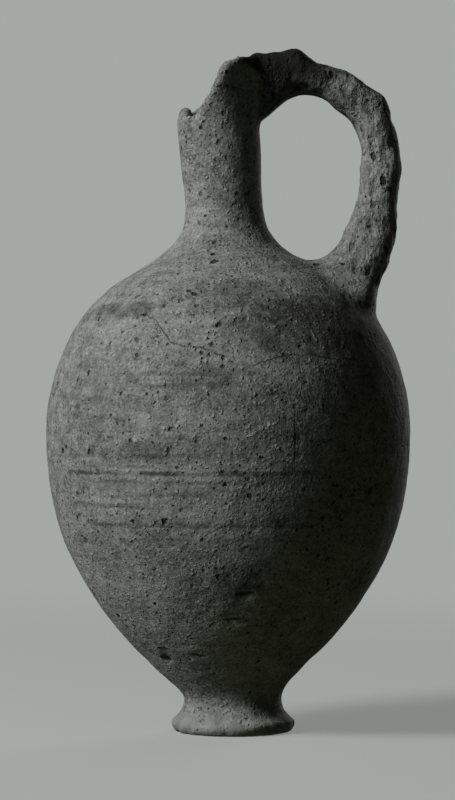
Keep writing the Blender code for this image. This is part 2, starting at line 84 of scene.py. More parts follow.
HIDDEN_DEPTH = 2.4 * MM  # the skin that lies deeper than this under the wall line is the hollow's
KEPT_FACES = 0.67  # share of the skin's faces that is left when the hollow's are thinned out
THINNING_BIAS = 10.0

# Lean of the jug's axis
FOOT_SHIFT = 1.6 * MM
FOOT_SHIFT_FADE = 9.0 * MM
NECK_LEAN = math.tan(math.radians(3.7))
NECK_LEAN_START = 165.0 * MM

# Remnant of the lip that still stands at the broken front
NUB_PLACE = (-15.9 * MM, -1.0 * MM, 225.0 * MM)
NUB_SIZE = (2.7 * MM, 3.2 * MM, 3.6 * MM)
NUB_SUBDIVISIONS = 3

# Fresh clay pressed into the corners where the handle meets the shoulder and the mouth
FILL_ROUNDS = 320
FILL_PULL = 0.8
ROOT_PLACE = (47.0 * MM, 0.0, 160.6 * MM)
ROOT_FILL = 40.0 * MM
TOP_PLACE = (11.0 * MM, 0.0, 233.0 * MM)
TOP_FILL = 24.0 * MM

# Where the skin counts as the handle, and as the jug's outside
HANDLE_OUT = (21.0 * MM, 30.0 * MM)
HANDLE_SLANT = (0.205, 0.222)  # height and distance across, added
OUTSIDE_FACING = (-0.45, -0.05)  # share of a normal that points outward

# Worn surface: size and seed of each kind of unevenness, and how far it moves the skin
BROAD = (38.0 * MM, 11.3)
BROAD_DEPTH = 0.40 * MM
LUMPS = (9.0 * MM, 3.7)
LUMP_DEPTH = 0.20 * MM
LUMP_DEPTH_HANDLE = 0.75 * MM
GRAIN = (3.4 * MM, 7.9)
GRAIN_DEPTH = 0.11 * MM
GRAIN_DEPTH_HANDLE = 0.34 * MM
RIDGES = (5.5 * MM, 5.1)
RIDGE_STRETCH = (0.12, 0.12, 1.0)
RIDGE_DEPTH = 0.09 * MM
GOUGES = (3.0 * MM, 17.0)
GOUGE_STRETCH = (1.0, 1.0, 0.35)
GOUGE_DEPTH = 2.2 * MM
GOUGE_LEVEL = 0.16
CHIPPING = (4.5 * MM, 29.0)
CHIPPING_DEPTH = 1.3 * MM
CHIPPING_TOP = 9.0 * MM  # the foot's edge is chipped up to here
CHIPPING_CORE = 0.5 * CHIPPING_TOP
LIP_CALM = 0.5  # share of the unevenness that the thin lip is spared

# Round pits in the skin
PIT_SPACING = 6.5 * MM
PIT_RADIUS = 1.25 * MM
PIT_LEAST = 0.55  # a pit's radius is this share of PIT_RADIUS, and up to PIT_MORE more
PIT_MORE = 0.75
PIT_DEPTH = 0.50 * MM
PIT_CHANCE = 0.55
PIT_LUCK = 37.0  # spreads the pits' centres, so that each has its own luck
PIT_PATCHES = (30.0 * MM, 23.0)
PIT_PATCH_LEVELS = (-0.4, 0.3)
PIT_SHALLOWEST = 0.5  # share of a pit's depth that is left between the patches

# Single dents: place, radius and depth, in millimetres
DENTS = (
    ((-22.3, -23.7, 28.5), 2.4, 0.9),
    ((-10.5, -33.0, 30.3), 2.8, 0.25),
    ((6.0, -51.6, 53.6), 3.4, 0.5),
    ((1.7, -45.7, 44.1), 4.2, 0.3),
)

# Swelling of the mouth's back corners
LIP_FULLNESS = 10.0 * MM  # four times the swelling
LIP_FULLNESS_RISE = 1.5  # power of the height up the mouth
LIP_FULLNESS_END = (12.0 * MM, 18.0 * MM)

# Where fingers and wear have pushed the skin: place across and up, reach, push across and up, in millimetres
PRESSES = (
    ((-8.5, 226.0), 7.0, (0.0, 2.2)),
    ((-3.0, 241.0), 6.5, (-0.5, 0.7)),
    ((5.6, 245.0), 4.5, (0.0, 1.8)),
    ((10.0, 248.0), 4.0, (0.0, 1.0)),
    ((15.0, 248.0), 4.5, (0.0, 0.5)),
    ((20.0, 249.5), 4.0, (0.0, -0.6)),
    ((30.5, 248.5), 6.0, (-0.3, -1.5)),
    ((16.5, 227.5), 8.0, (0.0, -1.2)),
    ((31.0, 230.5), 10.0, (0.0, 1.8)),
    ((57.0, 231.0), 8.5, (1.4, 1.0)),
    ((61.0, 179.5), 14.0, (1.3, 0.0)),
    ((56.5, 162.0), 9.0, (-1.3, 0.0)),
)

# Joints where the skin is parted
SEAM_HIGH_ANGLE = math.radians(190.0)
SEAM_RADIUS = 59.0 * MM
TOP_CUT_OFFSET = 3.0 * MM
TOP_CUT_LOW = 208.0 * MM
ROOT_NORMAL = (0.56, 0.0, 0.83)
ROOT_CUT_OFFSET = 4.5 * MM
ROOT_CUT_REACH = 27.0 * MM
HANDLE_LOW = 180.0 * MM

# Clay: colour, gloss, roughness and the darkest tone
CLAY_COLOUR = (0.194, 0.204, 0.189)
CLAY_GLOSS = 0.20
BODY_ROUGHNESS = 0.90
WORN_ROUGHNESS = 0.92
ROUGHNESS_SPREAD = 0.10
DARKEST_TONE = 0.06

# Clouds in the clay: size in millimetres, detail and seed, and the share of each in tone and in relief
CLOUD_ROUGHNESS = 0.6
FINE_CLOUD = (1.1, 2.0, 5.0)
FINE_TONE = 0.90
FINE_RELIEF = 0.13
MEDIUM_CLOUD = (4.4, 4.0, 9.0)
MEDIUM_TONE = 0.74
MEDIUM_RELIEF = 0.24
STREAK_CLOUD = (1.8, 3.0, 31.0)
STREAK_STRETCH = (0.10, 0.10, 1.0)
STREAK_TONE = 0.46
STREAK_RELIEF = 0.06
BROAD_CLOUD = (24.0, 3.0, 2.0)
BROAD_TONE = 0.50
GRIT_CLOUD = (0.6, 1.0, 15.0)
GRIT_TONE = 0.55

# Scattered spots: how ragged, large and faint they are
SPOT_WAVE = 0.7  # scale of the noise that makes a spot ragged, times its radius
SPOT_SPREAD = 1.5  # how far that noise moves the spot's edge, in radii
SPOT_GROWTH = 0.4  # power of a spot's luck in its radius
SPOT_LEAST = 0.001  # added to the radius, so that nothing is divided by zero
SPOT_EDGE = (0.40, 1.0)
SPOT_FADING = 0.5  # a faint spot loses up to this much

# Crumbs and small pits: spacing, radius and rise or depth, in millimetres, chance and seed
CRUMBS = (
    (2.4, 1.00, 0.46, 0.80, 29.0),
    (1.6, 0.64, 0.26, 0.80, 53.0),
)
CRUMB_LIGHT = 0.36
SMALL_PITS = (
    (2.1, 0.70, 0.36, 0.65, 13.0),
    (4.0, 1.10, 0.70, 0.60, 41.0),
    (9.0, 1.70, 1.10, 0.65, 67.0),
)
NECK_PITS = (4.6, 1.2, 0.80, 0.60, 19.0)
HANDLE_PITS = (3.8, 1.5, 1.20, 0.85, 23.0, 2.0)  # and how tall they are for their width
# painted shade: how much darker the pits' insides are drawn
SMALL_PIT_PAINTED_SHADE = 0.92
SPECK_CLOUD = (1.0, 1.0, 57.0)
SPECK_LEVELS = (0.30, 0.42)
SPECK_LIGHT = 0.45
PALE_GRAINS = (10.0, 0.45, 0.6, 37.0)  # spacing, radius, chance and seed
PALE_GRAIN_LIGHT = 1.5

# The belly's left is less pitted above these heights
SPARSE = 0.45
DENSE_TURNS = (-45.0, -5.0)
DENSE_HEIGHTS = (70.0, 105.0)

# Strokes and blotches on the front
FRONT_FADE = (0.0, 12.0)  # how far before the jug's axis they begin to show, and show in full
STROKE_RAGGED = 0.9
STROKE_EDGE = (0.3, 1.1)

# Sharp nicks: place, half length and half width, in millimetres, slope in degrees and depth
NICKS = (
    ((-22.3, -23.7, 28.5), 2.3, 0.9, -18, 0.9),
    ((-23.0, -27.8, 32.3), 2.6, 0.7, -4, 0.4),
    ((-10.5, -33.0, 30.3), 3.2, 0.6, -8, 0.3),
    ((6.0, -51.6, 53.6), 3.6, 0.8, 4, 0.7),
    ((1.7, -45.7, 44.1), 3.4, 0.6, 2, 0.3),
    ((22.8, -57.0, 107.5), 0.35, 9.5, 0, 0.4),
    ((-20.7, -60.0, 103.5), 0.6, 1.3, 0, 0.8),
    ((-31.8, -50.0, 136.5), 0.7, 0.7, 0, 0.7),
    ((-12.0, -49.0, 158.1), 1.0, 0.8, 0, 0.7),
    ((-1.9, -62.0, 135.3), 0.7, 1.2, 0, 0.6),
)
NICK_SHADE = 0.75

# Pale chips: place, half length and half width, in millimetres, and slope in degrees
CHIPS = (
    ((33.4, -57.2, 113.3), 3.0, 0.7, 30),
    ((14.9, -64.6, 112.3), 2.2, 0.6, 20),
    ((8.0, -66.0, 109.0), 2.6, 0.6, 25),
    ((30.0, -50.0, 143.0), 2.6, 0.6, -60),
)
CHIP_LIGHT = 0.7
CHIP_RISE = 0.35

# Cracks: (turn in degrees, height in millimetres) along each
MAIN_CRACK = ((-36, 151.4), (-31, 150.3), (-26, 147.6), (-22, 143.8), (-19, 140.9), (-15, 139.5),
              (-8, 138.4), (-3, 136.7), (1, 134.9))
RIGHT_CRACK = ((7, 132.5), (11, 133.9), (17, 135.7), (23, 136.4), (29, 136.2), (36, 135.2), (48, 135.4))
ROOT_CRACK = ((53, 156.3), (65, 153.4), (89, 151.3))
CRACK_WIDTH = 0.34  # millimetres to each side

# Each crack's line, its width to each side and its depth
CRACKS = (
    (MAIN_CRACK, 1.1 * CRACK_WIDTH, 0.5),
    (RIGHT_CRACK, CRACK_WIDTH, 0.5),
    (ROOT_CRACK, CRACK_WIDTH, 0.4),
)
CRACK_SHADE = 0.56
CRACK_CORE = 0.3  # share of a crack's width that is full
CRACK_START = (0.0, 0.06)  # share of its length over which it comes up
CRACK_END = (0.90, 1.0)  # and over which it dies away
CRACK_JITTER = 1.3
CRACK_JITTER_CLOUD = (3.2, 4.0, 91.0)
CRACK_FAINTEST = 0.60
CRACK_FADE_CLOUD = (6.0, 1.0, 95.0)
CRACK_FADE_LEVELS = (-0.25, 0.15)

# Worn painted bands: height, half width, first and last turn, strength
BANDS = (
    (95.6, 0.90, -66, 34, 0.74),
    (97.8, 0.60, -48, 20, 0.34),
    (101.6, 0.80, -60, 10, 0.34),
    (92.4, 0.70, -62, 22, 0.30),
    (88.0, 0.90, -58, 8, 0.28),
    (84.2, 0.90, -64, -20, 0.48),
    (77.5, 0.90, -52, 44, 0.58),
    (72.3, 0.60, -48, 20, 0.24),
    (129.8, 0.7, -34, 8, 0.36),
    (126.0, 0.8, -36, 12, 0.38),
    (121.0, 0.7, -60, -10, 0.28),
    (110.5, 0.8, -50, 16, 0.24),
)
BAND_EDGE = (0.35, 1.5)  # half widths over which a band dies away
BAND_START = (-6.0, 10.0)  # turns from its first over which it comes up
BAND_END = (-12.0, 6.0)  # turns from its last over which it dies away
BAND_WANDER = 0.9
BAND_WANDER_CLOUD = (30.0, 1.0, 71.0)
BAND_WEAR_CLOUD = (3.4, 3.0, 77.0)
BAND_WEAR_STRETCH = (0.22, 0.22, 0.8)
BAND_WEAR_LEVELS = (-0.42, 0.30)

# Dark blotches of worn paint: place and half size across and up, in millimetres, and strength
BLOTCHES = (
    ((-36.0, -40.2, 152.7), (12.0, 3.2), 0.44),
    ((-22.0, -60.0, 103.0), (30.0, 6.0), 0.22),
    ((-44.0, -48.0, 124.0), (17.0, 17.0), 0.24),
    ((-36.0, -46.0, 72.0), (20.0, 12.0), 0.18),
    ((3.5, -50.2, 158.8), (16.0, 5.5), 0.48),
    ((24.0, -46.0, 153.0), (18.0, 6.0), 0.36),
    ((-9.1, -63.8, 128.4), (14.0, 4.5), 0.34),
    ((-28.5, -59.9, 103.6), (12.0, 4.0), 0.26),
    ((-46.0, -46.0, 91.0), (22.0, 4.0), 0.20),
    ((3.0, -55.0, 58.0), (9.0, 7.0), 0.40),
    ((29.0, -50.0, 147.0), (24.0, 11.0), 0.54),
    ((12.0, -58.0, 145.0), (14.0, 7.0), 0.26),
    ((-16.0, -61.0, 88.0), (12.0, 5.0), 0.22),
)
BLOTCH_EDGE = (0.1, 1.5)
BLOTCH_CLOUD = (4.0, 3.0, 83.0)
BLOTCH_STRETCH = (0.35, 0.35, 1.0)
BLOTCH_RAGGED = 0.7
BLOTCH_MEDIUM = 1.1

# Pale crust round the foot's lower edge
FOOT_TONE = 0.94
CRUST_CLOUD = (5.0, 3.0, 61.0)
CRUST_STRETCH = (1.0, 1.0, 0.45)
CRUST_TOP = (4.0, 8.5)
CRUST_WANDER = 2.0
CRUST_COVER = 0.7
CRUST_TONE = 1.30
CRUST_SPREAD = 0.8
CRUST_LEVELLING = 0.6

# Painted shadow over the handle's top and the back of the mouth: a darkening of the clay's colour that stands
# in for the shade there
PAINTED_SHADOW_START = (3.5, 8.0)
PAINTED_SHADOW_START_WANDER = 2.0
PAINTED_SHADOW_LEAN = 0.6  # how far the start moves to the handle toward the near side
PAINTED_SHADOW_LEAN_TOP = (238.0, 244.0)
PAINTED_SHADOW_END = (29.0, 50.0)
PAINTED_SHADOW_END_WANDER = 8.0
PAINTED_SHADOW_LOW = (206.0, 222.0)
PAINTED_SHADOW_HIGH = (231.0, 242.0)
# the painted shadow is laid darker on the high, lit part than on the underside, which is in shade already
PAINTED_SHADOW_STRENGTH = 0.58
PAINTED_SHADOW_HIGH_STRENGTH = 0.37  # what the high part has more

# Gouges along the handle
HANDLE_TONE = 0.95
FURROW_CLOUD = (2.8, 4.0, 43.0)
FURROW_STRETCH = (1.0, 1.0, 0.5)
FURROW_TONE = 0.32
FURROW_RELIEF = 0.65

# Material slot of each piece of the skin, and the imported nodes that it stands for
STANDS_FOR = {
    "jug_foot": ("foot_clay", ("foot", "foot_join_coil")),
    "jug_lower_body": ("body_clay", ("lower_body",)),
    "jug_shoulder": ("body_clay", ("shoulder", "handle_tenon_wad")),
    "jug_neck": ("neck_clay", ("neck", "neck_join_coil")),
    "jug_mouth": ("neck_clay", ("mouth",)),
    "jug_handle": ("handle_clay", ("handle", "handle_root_pad", "handle_top_pad")),
}

# Camera, in the photograph's frame of 455 by 800 pixels
VIEW_DISTANCE = 1.0
EYE_HEIGHT = 0.115
EYE_SIDE = -0.0004
VIEW_HEIGHT = 0.2935  # height of the view at the jug's axis
VIEW_RAISE = 0.0062  # the view's middle lies this far above the eye
SENSOR = 36.0

# Light and stage
AIM_HEIGHT = 0.12
KEY_TURN = math.radians(-62.0)
KEY_HEIGHT = 0.96
KEY_DISTANCE = 1.45
KEY_SIZE = 0.55
KEY_POWER = 31.0
BACK_TURN = math.radians(154.0)
BACK_HEIGHT = 0.45
BACK_DISTANCE = 1.6
BACK_SIZE = 0.60
BACK_POWER = 9.0
ROOM_GLOW = (0.0165, 0.0175, 0.0110)
FLOOR_BOUNCE = 0.085
BOUNCE_LEAN = 0.9  # how much more of the floor's light comes from the lit side
FLOOR_RADIUS = 2.0
COVE_RADIUS = 1.0
COVE_STEPS = 12
WALL_TOP = 4.0
STAGE_SIDES = 64
NEAR_FLOOR = 0.25  # the floor's paper shades the light out to this far from the jug
FAR_FLOOR = 0.95  # and from here on it only glows, so that the backdrop is even
PAPER_COLOUR = (0.236, 0.245, 0.237, 1.0)
NEAR_GLOW = (0.208, 0.225, 0.211, 1.0)
FAR_GLOW = (0.371, 0.398, 0.373, 1.0)
BLACK = (0.0, 0.0, 0.0, 1.0)

# Places of a Mix node's colour sockets
MIX_FIRST = 6
MIX_SECOND = 7
MIX_RESULT = 2


def smoothstep(value, low, high):
    """Go from 0 to 1 smoothly as value goes from low to high."""
    share = np.clip((value - low) / (high - low), 0.0, 1.0)
    return share * share * (3.0 - 2.0 * share)


def nearness(points, place, reach):
    """Go from 1 at a place to 0 at its reach, smoothly."""
    return 1.0 - smoothstep(np.linalg.norm(points - place, axis=1), reach * NEAR_CORE, reach)


def add_object(name, data):
    """Put an object of some data into the scene."""
    item = bpy.data.objects.new(name, data)
    bpy.context.collection.objects.link(item)
    return item


def applied(item):
    """The mesh of an object with its modifiers applied, in place of the object."""
    graph = bpy.context.evaluated_depsgraph_get()
    mesh = bpy.data.meshes.new_from_object(item.evaluated_get(graph))
    bpy.data.objects.remove(item)
    return mesh


# The clay skin


def solids_in_one():
    """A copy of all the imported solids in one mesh, each grown a little, with the lip's remnant."""
    bm = bmesh.new()
    for name in sorted(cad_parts):
        bm.from_mesh(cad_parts[name].data)
    bmesh.ops.remove_doubles(bm, verts=bm.verts, dist=MERGE_DISTANCE)
    bmesh.ops.recalc_face_normals(bm, faces=bm.faces)
    for vert in bm.verts:
        vert.co += vert.normal * JOINT_CLOSING
    shape = Matrix.Translation(NUB_PLACE) @ Matrix.Diagonal((*NUB_SIZE, 1.0))
    bmesh.ops.create_icosphere(bm, subdivisions=NUB_SUBDIVISIONS, radius=1.0, matrix=shape)
    mesh = bpy.data.meshes.new("clay_lump")
    bm.to_mesh(mesh)
    bm.free()
    return mesh


def fused(mesh):
    """The mesh as one closed skin of even faces, without any void that it encloses."""
    lump = add_object("clay_lump", mesh)
    remesh = lump.modifiers.new("fuse", "REMESH")
    remesh.mode = "VOXEL"
    remesh.voxel_size = VOXEL
    skin = applied(lump)
    bm = bmesh.new()
    bm.from_mesh(skin)
    keep_largest(bm)
    bm.to_mesh(skin)
    bm.free()
    return skin


def keep_largest(bm):
    """Delete all but the largest connected stretch of faces."""
    unseen = set(bm.verts)
    groups = []
    while unseen:
        first = unseen.pop()
        group = [first]
        for vert in group:
            for edge in vert.link_edges:
                other = edge.other_vert(vert)
                if other in unseen:
                    unseen.remove(other)
                    group.append(other)
        groups.append(group)
    groups.sort(key=len)
    for group in groups[:-1]:
        bmesh.ops.delete(bm, geom=group, context="VERTS")


def read_points(mesh):
    """A mesh's points as rows of an array."""
    values = np.empty(len(mesh.vertices) * 3, np.float32)
    mesh.vertices.foreach_get("co", values)
    return values.reshape(-1, 3).astype(float)


def read_normals(mesh):
    """The normal at each of a mesh's points."""
    values = np.empty(len(mesh.vertices) * 3, np.float32)
    mesh.vertex_normals.foreach_get("vector", values)
    return values.reshape(-1, 3).astype(float)


def read_links(mesh):
    """The first and the second end of each of a mesh's edges, and how many edges meet at each point."""
    values = np.empty(len(mesh.edges) * 2, np.int32)
    mesh.edges.foreach_get("vertices", values)
    first, second = values.reshape(-1, 2).T
    count = len(mesh.vertices)
    links = np.bincount(first, minlength=count) + np.bincount(second, minlength=count)
    return first, second, links


def write_points(mesh, points):
    """Move a mesh's points to the rows of an array."""
    mesh.vertices.foreach_set("co", points.astype(np.float32).ravel())
    mesh.update()


def neighbour_sum(column, first, second):
    """The sum of a value over the neighbours of each point."""
    count = len(column)
    total = np.bincount(first, column[second], count)
    total += np.bincount(second, column[first], count)
    return total


def smoothed(mesh, points, rounds, share, pulls):
    """Smooth the points along the mesh's edges, each by its share. A pull below zero gives volume back."""
    first, second, links = read_links(mesh)
    for _ in range(rounds):
        for pull in pulls:
            mean = np.empty_like(points)
            for axis in range(3):
                mean[:, axis] = neighbour_sum(points[:, axis], first, second) / links
            points = points + pull * share[:, None] * (mean - points)
    return points


def filled(mesh, points):
    """Fill the hollow corners at both ends of the handle with a soft fillet."""
    first, second, links = read_links(mesh)
    normals = read_normals(mesh)
    root = nearness(points, ROOT_PLACE, ROOT_FILL)
    share = FILL_PULL * np.maximum(root, nearness(points, TOP_PLACE, TOP_FILL))
    near = (share[first] > 0.0) | (share[second] > 0.0)
    first = first[near]
    second = second[near]
    for _ in range(FILL_ROUNDS):
        lift = -np.sum(points * normals, axis=1)
        for axis in range(3):
            lift += neighbour_sum(points[:, axis], first, second) / links * normals[:, axis]
        points = points + normals * (share * np.maximum(0.0, lift))[:, None]
    return points


def axis_shift(height):
    """How far the jug's axis lies from X = 0 at each height."""
    foot_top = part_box("foot")[1].z
    fade = smoothstep(height, foot_top - FOOT_SHIFT_FADE, foot_top)
    return FOOT_SHIFT * (1.0 - fade) - NECK_LEAN * np.maximum(0.0, height - NECK_LEAN_START)


def wall_line():
    """The belly's outer radius, squared, as a polynomial of height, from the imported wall's own points."""
    heights = []
    radii = []
    for name in ("lower_body", "shoulder"):
        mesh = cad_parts[name].data
        for face in mesh.polygons:
            middle = face.center
            outward = face.normal.xy.dot(middle.xy.normalized())
            if middle.x > 0.0 or outward < WALL_FACING or not BELLY_LOW < middle.z < BELLY_HIGH:
                continue
            for index in face.vertices:
                point = mesh.vertices[index].co
                heights.append(point.z)
                radii.append(point.xy.length)
    return np.polynomial.Polynomial.fit(heights, np.square(radii), WALL_LINE_DEGREE)


def rounded(points, line):
    """Bring the belly's outer skin onto its smooth wall line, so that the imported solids' flat faces go."""
    across = points[:, :2]
    height = points[:, 2]
    radius = np.linalg.norm(across, axis=1)
    wall = np.sqrt(np.maximum(line(height), 0.0))
    proud = radius - wall
    share = smoothstep(height, BELLY_LOW, BELLY_LOW + BELLY_FADE)
    share *= 1.0 - smoothstep(height, BELLY_HIGH - BELLY_FADE, BELLY_HIGH)
    share *= smoothstep(proud, -WALL_INNER - WALL_BLEND, -WALL_INNER)
    share *= 1.0 - smoothstep(proud, WALL_OUTER, WALL_OUTER + WALL_BLEND)
    moved = points.copy()
    moved[:, :2] = across * (1.0 - share * proud / np.maximum(radius, MM))[:, None]
    return moved


def thinned(skin, line):
    """The skin with larger faces in the belly's hollow, where no view reaches."""
    points = read_points(skin)
    height = points[:, 2]
    wall = np.sqrt(np.maximum(line(height), 0.0))
    hidden = np.linalg.norm(points[:, :2], axis=1) < wall - HIDDEN_DEPTH
    hidden &= (height > BELLY_LOW) & (height < BELLY_HIGH)
    lump = add_object("clay_lump", skin)
    group = lump.vertex_groups.new(name="hidden")
    group.add(np.flatnonzero(hidden).tolist(), 1.0, "REPLACE")
    thin = lump.modifiers.new("thin", "DECIMATE")
    thin.ratio = KEPT_FACES
    thin.vertex_group = group.name
    thin.vertex_group_factor = THINNING_BIAS
    return applied(lump)


def cloud(points, size, seed):
    """Smooth noise of a size at each point, about -1 to 1."""
    places = points / size + seed
    return np.array([noise.noise(place) for place in places])


def pitted(points):
    """How deep each point lies in a round pit, 0 to 1."""
    depth = np.zeros(len(points))
    for index, place in enumerate(points / PIT_SPACING):
        distances, centres = noise.voronoi(place)
        luck = noise.cell(centres[0] * PIT_LUCK)
        if abs(luck) < PIT_CHANCE:
            radius = PIT_RADIUS * (PIT_LEAST + PIT_MORE * abs(luck) / PIT_CHANCE)
            depth[index] = max(0.0, 1.0 - (distances[0] * PIT_SPACING / radius) ** 2)
    return depth


def unevenness(points, handle):
    """How far hand work and wear move each point outward."""
    move = BROAD_DEPTH * cloud(points, *BROAD)
    lump_depth = LUMP_DEPTH + (LUMP_DEPTH_HANDLE - LUMP_DEPTH) * handle
    move += lump_depth * cloud(points, *LUMPS)
    grain_depth = GRAIN_DEPTH + (GRAIN_DEPTH_HANDLE - GRAIN_DEPTH) * handle
    move += grain_depth * cloud(points, *GRAIN)
    move += RIDGE_DEPTH * (1.0 - handle) * cloud(points * RIDGE_STRETCH, *RIDGES)
    gouged = cloud(points * GOUGE_STRETCH, *GOUGES)
    move -= GOUGE_DEPTH * handle * np.maximum(0.0, gouged - GOUGE_LEVEL)
    patches = smoothstep(cloud(points, *PIT_PATCHES), *PIT_PATCH_LEVELS)
    move -= PIT_DEPTH * pitted(points) * (PIT_SHALLOWEST + (1.0 - PIT_SHALLOWEST) * patches)

    edge = 1.0 - smoothstep(points[:, 2], CHIPPING_CORE, CHIPPING_TOP)
    move -= CHIPPING_DEPTH * edge * np.maximum(0.0, cloud(points, *CHIPPING))
    for place, size, depth in DENTS:
        gap = np.linalg.norm(points - np.array(place) * MM, axis=1)
        move -= depth * MM * np.maximum(0.0, 1.0 - (gap / (size * MM)) ** 2)
    return move


def swell_lip(moved, points, across, radius):
    """Swell the mouth's back corners outward, most at the lip."""
    mouth_low, mouth_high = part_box("mouth")[0].z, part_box("mouth")[1].z
    risen = np.clip((points[:, 2] - mouth_low) / (mouth_high - mouth_low), 0.0, 1.0)
    corner = np.maximum(across, 0.0) * points[:, 1] / radius ** 2
    full = LIP_FULLNESS * risen ** LIP_FULLNESS_RISE * corner ** 2
    full *= 1.0 - smoothstep(across, *LIP_FULLNESS_END)
    moved[:, 0] += full * across / radius
    moved[:, 1] += full * points[:, 1] / radius


def press(moved, points):
    """Push the skin across and up where fingers and wear have pressed it."""
    for place, reach, push in PRESSES:
        gap = np.linalg.norm(points[:, ACROSS_AND_UP] - np.array(place) * MM, axis=1)
        share = np.maximum(0.0, 1.0 - (gap / (reach * MM)) ** 2) ** 2
        moved[:, ACROSS_AND_UP] += share[:, None] * np.array(push) * MM


def worn(points, normals):
    """The skin's points, with its outside made uneven, the lip swollen and the presses pushed in."""
    across = points[:, 0] - axis_shift(points[:, 2])
    radius = np.maximum(np.hypot(across, points[:, 1]), MM)
    outward = (normals[:, 0] * across + normals[:, 1] * points[:, 1]) / radius
    handle = smoothstep(across, *HANDLE_OUT) * smoothstep(points[:, 2] + across, *HANDLE_SLANT)
    outside = np.maximum(handle, smoothstep(outward, *OUTSIDE_FACING))
    outside *= 1.0 - LIP_CALM * nearness(points, LIP_PLACE, LIP_REACH)
    moved = points + normals * (unevenness(points, handle) * outside)[:, None]
    swell_lip(moved, points, across, radius)
    press(moved, points)
    moved[:, 2] = np.maximum(moved[:, 2], 0.0)
    return moved


def clay_skin():
    """The whole jug's worn skin as one closed mesh."""
    skin = fused(solids_in_one())
    even = (SMOOTH_SHRINK, SMOOTH_GROW)
    points = read_points(skin)
    above_edge = smoothstep(points[:, 2], FOOT_EDGE_LOW, FOOT_EDGE_TOP)
    share = FOOT_SMOOTHING + (1.0 - FOOT_SMOOTHING) * above_edge
    points = smoothed(skin, points, SMOOTH_ROUNDS, share, even)
    line = wall_line()
    points = rounded(points, line)
    points = smoothed(skin, points, LIP_ROUNDS, nearness(points, LIP_PLACE, LIP_REACH), even)
    write_points(skin, points)
    points = filled(skin, points)
    share = np.maximum(nearness(points, PAD_PLACE, PAD_REACH), nearness(points, ROOT_PLACE, ROOT_REACH))
    points = smoothed(skin, points, SOFT_ROUNDS, share, even[:1])
    write_points(skin, points)
    write_points(skin, worn(points, read_normals(skin)))
    return thinned(skin, line)


# Shader nodes


class Signal:
    """A shader socket. Sums and products of signals add Math nodes to their tree."""

    def __init__(self, tree, socket=None):
        self.tree = tree
        self.socket = socket

    def node(self, kind, settings, inputs, output=0):
        """Add a node with its settings and the values or links of its sockets, and give one output."""
        item = self.tree.nodes.new(kind)
        for name, value in settings.items():
            if name == "curve":
                set_curve(item.mapping, value)
            else:
                setattr(item, name, value)
        for key, value in inputs.items():
            if isinstance(value, Signal):
                self.tree.links.new(value.socket, item.inputs[key])
            else:
                item.inputs[key].default_value = value
        return Signal(self.tree, item.outputs[output])

    def maths(self, operation, *values):
        """Add a Math node."""
        return self.node("ShaderNodeMath", {"operation": operation}, dict(enumerate(values)))

    def __add__(self, other):
        return self.maths("ADD", self, other)

    __radd__ = __add__

    def __sub__(self, other):
        return self.maths("SUBTRACT", self, other)

    def __rsub__(self, other):
        return self.maths("SUBTRACT", other, self)

    def __mul__(self, other):
        return self.maths("MULTIPLY", self, other)

    __rmul__ = __mul__

    def __truediv__(self, other):
        return self.maths("DIVIDE", self, other)

    def __abs__(self):
        return self.maths("ABSOLUTE", self)

    def largest(self, other):
        """The larger of the signal and another."""
        return self.maths("MAXIMUM", self, other)

    def step(self, low, high):
        """Go from 0 to 1 smoothly as the signal goes from low to high."""
        limits = {"Value": self, "From Min": low, "From Max": high, "To Min": 0.0, "To Max": 1.0}
        return self.node("ShaderNodeMapRange", {"interpolation_type": "SMOOTHSTEP"}, limits)

    def stretched(self, x, y, z):
        """A vector with its three parts scaled."""
        return self.node("ShaderNodeVectorMath", {"operation": "MULTIPLY"}, {0: self, 1: (x, y, z)})

    def moved(self, offset):
        """A vector moved by another."""
        return self.node("ShaderNodeVectorMath", {"operation": "ADD"}, {0: self, 1: offset})

    def cloud(self, size, detail, seed):
        """Noise of a size over a place, about -1 to 1."""
        place = self.moved((seed, seed, seed))
        inputs = {"Vector": place, "Scale": 1.0 / size, "Detail": detail, "Roughness": CLOUD_ROUGHNESS}
        return self.node("ShaderNodeTexNoise", {}, inputs) * 2.0 - 1.0

    def parts(self):
        """The three parts of a vector."""
        return [self.node("ShaderNodeSeparateXYZ", {}, {0: self}, axis) for axis in range(3)]

    def tinted(self, colour):
        """A colour times the signal."""
        grey = self.node("ShaderNodeCombineXYZ", {}, {0: self, 1: self, 2: self})
        return grey.stretched(*colour)

    def mixed(self, first, second):
        """A colour that goes from the first to the second as the signal goes from 0 to 1."""
        inputs = {"Factor": self, MIX_FIRST: first, MIX_SECOND: second}
        return self.node("ShaderNodeMix", {"data_type": "RGBA"}, inputs, MIX_RESULT)

    def feed(self, target):
        """Link the signal to a socket of a shader."""
        self.tree.links.new(self.socket, target)


def set_curve(mapping, points):
    """Give a curve node its points."""
    curve = mapping.curves[0]
    while len(curve.points) < len(points):
        curve.points.new(0.5, 0.5)
    for point, place in zip(curve.points, points):
        point.location = place
        point.handle_type = "AUTO"
    mapping.update()


# Clay finishes


